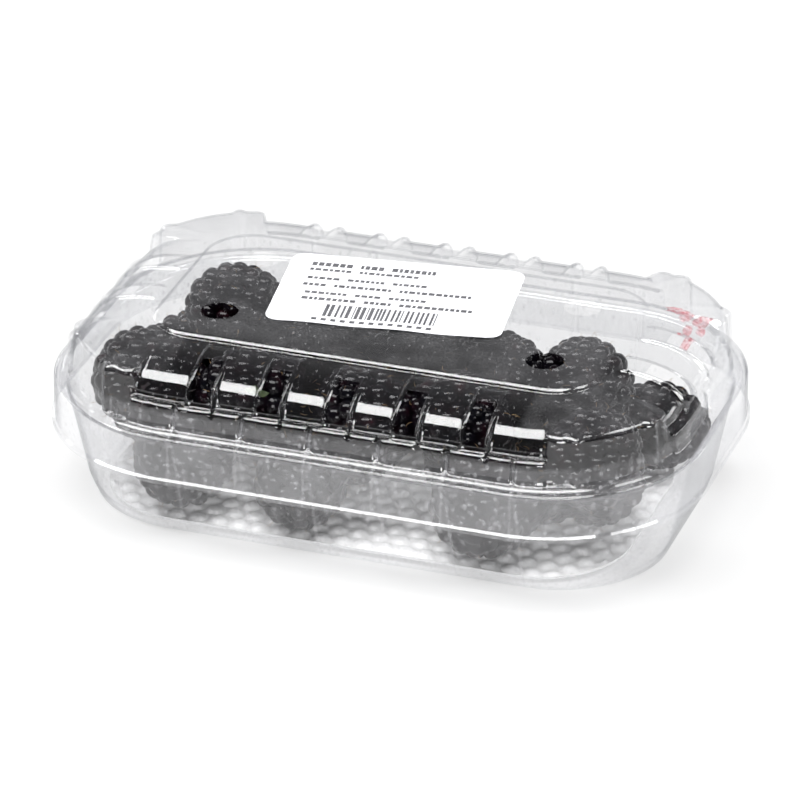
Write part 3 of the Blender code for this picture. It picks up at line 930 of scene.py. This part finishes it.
def smear_piece(lid, material):
    """Thin films of juice that follow the lid's outer face."""
    tree = BVHTree.FromObject(lid, bpy.context.evaluated_depsgraph_get())
    rng = random.Random(SMEAR_SEED)
    store = ([], [])
    for x, y, half_x, half_y in SMEAR_PATCHES:
        wobble = [rng.uniform(0.7, 1.2) for _ in range(SMEAR_SIDES)]
        steps = around(np.array((half_x, 0.0)), np.array((0.0, half_y)), SMEAR_SIDES)
        rings = []
        for share in (0.35, 0.7, 1.0):
            above = SMEAR_EDGE + (SMEAR_MIDDLE - SMEAR_EDGE) * (1.0 - share)
            rings.append([on_lid(tree, x + share * wild * step[0], y + share * wild * step[1], above)
                          for wild, step in zip(wobble, steps)])
        rings.append([on_lid(tree, *point[:2], SMEAR_FOOT) for point in rings[-1]])
        add_rings(store, rings, on_lid(tree, x, y, SMEAR_MIDDLE), on_lid(tree, x, y, SMEAR_FOOT))
    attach(new_piece("juice_smear", *store, material, 180.0), "root")


def on_lid(tree, x, y, above):
    hit, normal, _, _ = tree.find_nearest(Vector((x, y, PANEL_TOP)) * MM)
    return np.array(hit / MM + normal * above)


# -------- materials
class Shader:
    """The node tree of a material or a world, with short ways to add and join nodes."""

    def __init__(self, name, world=False):
        self.owner = (bpy.data.worlds if world else bpy.data.materials).new(name)
        self.owner.use_nodes = True
        self.tree = self.owner.node_tree
        self.tree.nodes.clear()
        self.output = self.add("ShaderNodeOutputWorld" if world else "ShaderNodeOutputMaterial")

    def add(self, kind, settings=None, **inputs):
        node = self.tree.nodes.new(kind)
        for key, value in (settings or {}).items():
            setattr(node, key, value)
        for key, value in inputs.items():
            self.feed(node.inputs[key.replace("_", " ")], value)
        return node

    def feed(self, socket, value):
        if isinstance(value, bpy.types.NodeSocket):
            self.tree.links.new(value, socket)
        else:
            socket.default_value = value

    def join(self, kind, *values, **settings):
        """The first output of a node whose inputs are fed in their order."""
        node = self.add(kind, settings)
        for socket, value in zip(node.inputs, values):
            self.feed(socket, value)
        return node.outputs[0]

    def math(self, operation, *values):
        return self.join("ShaderNodeMath", *values, operation=operation)

    def scaled(self, value, factor, offset):
        return self.math("MULTIPLY_ADD", value, factor, offset)

    def times(self, first, *others):
        for other in others:
            first = self.math("MULTIPLY", first, other)
        return first

    def ramp(self, value, *stops):
        """Colours or grey levels at their positions, blended between them."""
        node = self.add("ShaderNodeValToRGB", Fac=value)
        elements = node.color_ramp.elements
        while len(elements) < len(stops):
            elements.new(0.5)
        for element, (position, *colour) in zip(elements, stops):
            element.position = position
            element.color = (*(colour * 3)[:3], 1.0)
        return node.outputs[0]

    def place(self, axis, space="Object"):
        """One coordinate of the shaded point, in metres, or of the world's direction."""
        point = self.add("ShaderNodeTexCoord").outputs[space]
        return self.add("ShaderNodeSeparateXYZ", Vector=point).outputs[axis]

    def millimetres(self, stretch):
        """The shaded point in the object's own millimetres, stretched along its axes."""
        point = self.add("ShaderNodeTexCoord").outputs["Object"]
        scale = [factor / MM for factor in stretch]
        return self.add("ShaderNodeMapping", Vector=point, Scale=scale).outputs[0]

    def noise(self, scale, detail=2.0, stretch=(1.0, 1.0, 1.0), roughness=0.5):
        """Noise; its scale is in waves per millimetre."""
        node = self.add("ShaderNodeTexNoise", Vector=self.millimetres(stretch), Scale=scale,
                        Detail=detail, Roughness=roughness)
        return node.outputs["Fac"]

    def drops(self, scale, size):
        """One on small round spots strewn over the surface, and zero between them."""
        cells = self.add("ShaderNodeTexVoronoi", Vector=self.millimetres((1.0, 1.0, 0.8)), Scale=scale)
        return self.step(cells.outputs["Distance"], size, size * 0.5)

    def step(self, value, start, end):
        """A soft step from zero at the start to one at the end."""
        return self.join("ShaderNodeMapRange", value, start, end, interpolation_type="SMOOTHSTEP")

    def bump(self, value, depth):
        return self.add("ShaderNodeBump", Strength=1.0, Distance=depth * MM, Height=value).outputs[0]

    def mix(self, share, first, second):
        return self.join("ShaderNodeMixShader", share, first, second)

    def finish(self, surface):
        self.feed(self.output.inputs["Surface"], surface)
        return self.owner


SCUFF_TOP = 32.0  # the walls below this height are scuffed and misted inside, with painted highlights in lines along the tray's ribs
BLOCK_FROM = (38.5, 13.0)  # the corner blocks lie beyond these places


def clear_material():
    """Thin clear sheet: mirrors more at a slant, scuffed on its upright walls and fogged on top, with
    painted highlights in lines along the tray's ribs.
    """
    shader = Shader("clear_sheet_look")
    ripple = shader.bump(shader.noise(0.1, 1.0), 0.02)
    slant = shader.add("ShaderNodeLayerWeight", Blend=0.5, Normal=ripple).outputs["Facing"]
    mirror = shader.scaled(shader.math("POWER", slant, 5.0), 0.6, 0.038)
    tint = shader.ramp(slant, (0.0, 0.985, 0.986, 0.988), (0.6, 0.972, 0.973, 0.976),
                       (0.74, 0.935, 0.937, 0.943), (0.86, 0.72, 0.725, 0.74), (1.0, 0.18, 0.19, 0.21))
    through = shader.add("ShaderNodeBsdfTransparent", Color=tint).outputs[0]

    x, y, height = (shader.math("DIVIDE", shader.place(axis), MM) for axis in range(3))
    along = shader.math("ABSOLUTE", x)
    across = shader.math("ABSOLUTE", y)
    on_panel = shader.math("GREATER_THAN", height, PANEL_TOP - SHEET - 0.06)
    on_block = shader.times(shader.step(height, BLOCK_EDGE_Z - 1.2, BLOCK_EDGE_Z - 0.4),
                            shader.step(along, BLOCK_FROM[0] - 1.0, BLOCK_FROM[0] + 1.0),
                            shader.step(across, BLOCK_FROM[1] - 1.0, BLOCK_FROM[1] + 1.0))
    grain = shader.ramp(shader.noise(2.6, 3.0), (0.35, 0.0), (0.75, 1.0))
    patches = shader.ramp(shader.noise(0.13, 3.0), (0.38, 0.35), (0.64, 1.0))
    fog = shader.times(shader.math("MAXIMUM", on_panel, on_block), patches,
                       shader.scaled(grain, 0.042, 0.006))
    streak = shader.ramp(shader.noise(0.2, 4.0, (1.0, 1.0, 0.35), 0.7), (0.36, 0.0), (0.68, 1.0))
    # painted highlight: the veil is lighter in thin upright lines along the tray's ribs; the vertical
    # streaks and the even base are scuffs
    to_rib = shader.math("PINGPONG", shader.math("SUBTRACT", x, GROOVE_OFFSET), BAND_PITCH / 2)
    rib = shader.times(shader.step(to_rib, 0.42, 0.16), shader.step(along, RIBS_END + 0.5, RIBS_END))
    streaks_and_rib_highlight = shader.scaled(rib, 0.05, shader.scaled(streak, 0.036, 0.017))
    mist_streaks_and_rib_highlight = shader.scaled(shader.drops(0.5, 0.3), 0.08, streaks_and_rib_highlight)
    low_wall_scuff_and_rib_highlight = shader.times(shader.step(height, SCUFF_TOP, SCUFF_TOP - 1.2), mist_streaks_and_rib_highlight)
    haze = shader.math("ADD", shader.math("ADD", fog, low_wall_scuff_and_rib_highlight), 0.002)
    veil = shader.add("ShaderNodeBsdfDiffuse", Color=(0.9, 0.895, 0.92, 1.0)).outputs[0]
    gloss = shader.add("ShaderNodeBsdfAnisotropic", Color=(1.0, 1.0, 1.0, 1.0), Roughness=0.05,
                       Normal=ripple).outputs[0]
    return shader.finish(shader.mix(mirror, shader.mix(haze, through, veil), gloss))


# the noise of each plain finish's tone, its two tones, its roughness, and its relief's noise and depth
FINISHES = {
    "label_paper_look": ((1.2, 4.0), (0.3, 0.7, 0.7, 0.73), (0.7, 0.76, 0.76, 0.785), 0.5, (1.2, 4.0, 0.02)),
    "label_ink_look": ((3.0, 3.0), (0.35, 0.035, 0.035, 0.04), (0.75, 0.16, 0.16, 0.17), 0.6, None),
    "bubble_pad_look": ((0.5, 3.0), (0.3, 0.64), (0.7, 0.72), 0.42, (2.2, 3.0, 0.05)),
    "berry_core_look": ((0.5, 2.0), (0.3, 0.004, 0.002, 0.004), (0.7, 0.02, 0.004, 0.01), 0.6, None),
    "berry_hair_look": ((0.35, 2.0), (0.3, 0.10, 0.05, 0.02), (0.7, 0.34, 0.22, 0.09), 0.5, None),
    "berry_leaf_look": ((0.8, 3.0), (0.3, 0.015, 0.028, 0.006), (0.7, 0.05, 0.075, 0.02), 0.5,
                        (2.5, 3.0, 0.1)),
}


def plain_material(name):
    tone_noise, dark, pale, roughness, relief = FINISHES[name]
    shader = Shader(name)
    tone = shader.ramp(shader.noise(*tone_noise), dark, pale)
    surface = shader.add("ShaderNodeBsdfPrincipled", Base_Color=tone, Roughness=roughness)
    if relief:
        shader.feed(surface.inputs["Normal"], shader.bump(shader.noise(*relief[:2]), relief[2]))
    return shader.finish(surface.outputs[0])


def fruit_material():
    """Near-black skin with wine-red and bluish drupelets here and there, and a moist gloss."""
    shader = Shader("dark_fruit_look")
    tone = shader.ramp(shader.noise(0.28, 1.0),
                       (0.28, 0.0015, 0.0015, 0.0025), (0.56, 0.0025, 0.0015, 0.0025),
                       (0.68, 0.005, 0.0018, 0.003), (0.8, 0.013, 0.003, 0.005))
    rough = shader.ramp(shader.noise(0.7, 3.0), (0.3, 0.08), (0.7, 0.18))
    fruit = shader.add("ShaderNodeBsdfPrincipled", Base_Color=tone, Roughness=rough,
                       Specular_IOR_Level=0.16, Coat_Weight=0.12, Coat_Roughness=0.12,
                       Normal=shader.bump(shader.noise(1.6, 3.0), 0.05))
    return shader.finish(fruit.outputs[0])


def juice_material():
    """A thin pink-red stain that lets the sheet show through in patches."""
    shader = Shader("juice_look")
    patch = shader.ramp(shader.noise(1.1, 4.0), (0.42, 0.0), (0.72, 0.42))
    through = shader.add("ShaderNodeBsdfTransparent", Color=(1.0, 0.93, 0.935, 1.0)).outputs[0]
    stain = shader.add("ShaderNodeBsdfPrincipled", Base_Color=(0.50, 0.07, 0.10, 1.0), Roughness=0.3)
    return shader.finish(shader.mix(patch, through, stain.outputs[0]))


# -------- stage, light and camera
SOFTBOX_HEIGHT = 3.0
SOFTBOX_ANGLES = (67.0, 93.0)  # of its front and back edges, up from the horizon in front
SOFTBOX_LENGTH = 4.4
SOFTBOX_SHIFT = -1.1
SOFTBOX_RADIANCE = 12.0
# each smaller light's place, its width and height, and its radiance: a very low one at each side, a
# low one in front, which puts a dot on every drupelet but is turned so that the lid's flat panel and
# straight barrels don't mirror it whole, and a high one for each of the lid's front corners
SMALL_LIGHTS = (
    ((-2.4, 1.0, 0.27), (3.0, 0.5), 2.0),
    ((2.4, 1.2, 0.27), (3.0, 0.5), 5.0),
    ((0.65, -1.6, 0.42), (0.8, 0.7), 12.0),
    ((1.65, 0.7, 2.9), (1.2, 1.0), 8.0),
    ((-2.3, 1.05, 1.55), (0.7, 0.5), 2.0),
)
FLOOR_HALF = 8.0
FLOOR_TONE = 0.24
PAINTED_FLOOR_GLOW = 0.56  # the floor glows with painted light, though it is no lamp, so that the shadows stay faint
PAINTED_POOL_OF_LIGHT = (0.35, 1.1)  # how far from its middle the floor's painted pool of light, in its colour and its glow, starts and ends fading
FLOOR_FAR = 0.3  # what is left of it beyond


def make_stage():
    mesh = bpy.data.meshes.new("floor")
    corners = [(x * FLOOR_HALF, y * FLOOR_HALF, 0.0) for x, y in ((-1, -1), (1, -1), (1, 1), (-1, 1))]
    mesh.from_pydata(corners, [], [(0, 1, 2, 3)])
    floor = bpy.data.objects.new("floor", mesh)
    bpy.context.scene.collection.objects.link(floor)
    shader = Shader("floor_look")
    x, y = shader.place(0), shader.place(1)
    distance = shader.math("SQRT", shader.scaled(x, x, shader.times(y, y)))
    # painted pool of light: the floor's colour and glow fade away from its middle
    painted_pool = shader.scaled(shader.step(distance, *PAINTED_POOL_OF_LIGHT[::-1]), 1.0 - FLOOR_FAR, FLOOR_FAR)
    paint = shader.add("ShaderNodeBsdfDiffuse", Color=shader.times(painted_pool, FLOOR_TONE))
    # painted light: the floor glows, though it is no lamp, to keep the shadows under the punnet faint
    painted_glow = shader.add("ShaderNodeEmission", Strength=shader.times(painted_pool, PAINTED_FLOOR_GLOW))
    both = shader.join("ShaderNodeAddShader", paint.outputs[0], painted_glow.outputs[0])
    mesh.materials.append(shader.finish(both))


def soft_light(name, place, size, radiance):
    lamp = bpy.data.lights.new(name, "AREA")
    lamp.shape = "RECTANGLE"
    lamp.size, lamp.size_y = size
    lamp.energy = radiance * math.pi * lamp.size * lamp.size_y
    light = bpy.data.objects.new(name, lamp)
    light.location = place
    light.visible_camera = False
    bpy.context.scene.collection.objects.link(light)
    return light


def make_lights():
    front, back = (-SOFTBOX_HEIGHT / math.tan(math.radians(angle)) for angle in SOFTBOX_ANGLES)
    soft_light("softbox", (SOFTBOX_SHIFT, (front + back) / 2, SOFTBOX_HEIGHT),
               (SOFTBOX_LENGTH, back - front), SOFTBOX_RADIANCE)
    for number, (place, size, radiance) in enumerate(SMALL_LIGHTS):
        small = soft_light(f"small_light_{number}", place, size, radiance)
        small.rotation_mode = "QUATERNION"
        small.rotation_quaternion = (-Vector(place)).to_track_quat("-Z", "Y")

    world = Shader("studio", world=True)
    to_back = world.scaled(world.place(1, "Generated"), 0.5, 0.5)
    tone = world.ramp(to_back, (0.5, 0.03, 0.03, 0.032), (0.75, 0.09, 0.09, 0.094),
                      (0.92, 0.26, 0.26, 0.27))
    bpy.context.scene.world = world.finish(world.add("ShaderNodeBackground", Color=tone).outputs[0])


def make_camera():
    level = math.cos(CAMERA_DOWN)
    right = Vector((math.cos(CAMERA_TURN), math.sin(CAMERA_TURN), 0.0))
    forward = Vector((-right.y * level, right.x * level, -math.sin(CAMERA_DOWN)))
    up = right.cross(forward)
    middle = PHOTO_PIXELS / 2
    aim = forward - right * ((TARGET_PIXEL[0] - middle) / FOCAL_PIXELS)
    aim += up * ((TARGET_PIXEL[1] - middle) / FOCAL_PIXELS)
    lens = bpy.data.cameras.new("camera")
    lens.sensor_width = SENSOR
    lens.lens = FOCAL_PIXELS / PHOTO_PIXELS * SENSOR
    lens.clip_start = 0.05
    lens.clip_end = 50.0
    camera = bpy.data.objects.new("camera", lens)
    camera.location = CAMERA_AT
    camera.rotation_mode = "QUATERNION"
    camera.rotation_quaternion = aim.to_track_quat("-Z", "Y")
    bpy.context.scene.collection.objects.link(camera)
    bpy.context.scene.camera = camera


def main():
    make_camera()
    make_stage()
    make_lights()
    clear = clear_material()
    lid = lid_piece(clear)
    tray_piece(clear)
    label_piece(plain_material("label_paper_look"))
    print_piece(plain_material("label_ink_look"))
    pad_piece(plain_material("bubble_pad_look"))
    berry_pieces(fruit_material())
    smear_piece(lid, juice_material())
    scene = bpy.context.scene
    scene.view_settings.view_transform = "Standard"
    scene.cycles.transparent_max_bounces = 40
    scene.cycles.max_bounces = 10


main()
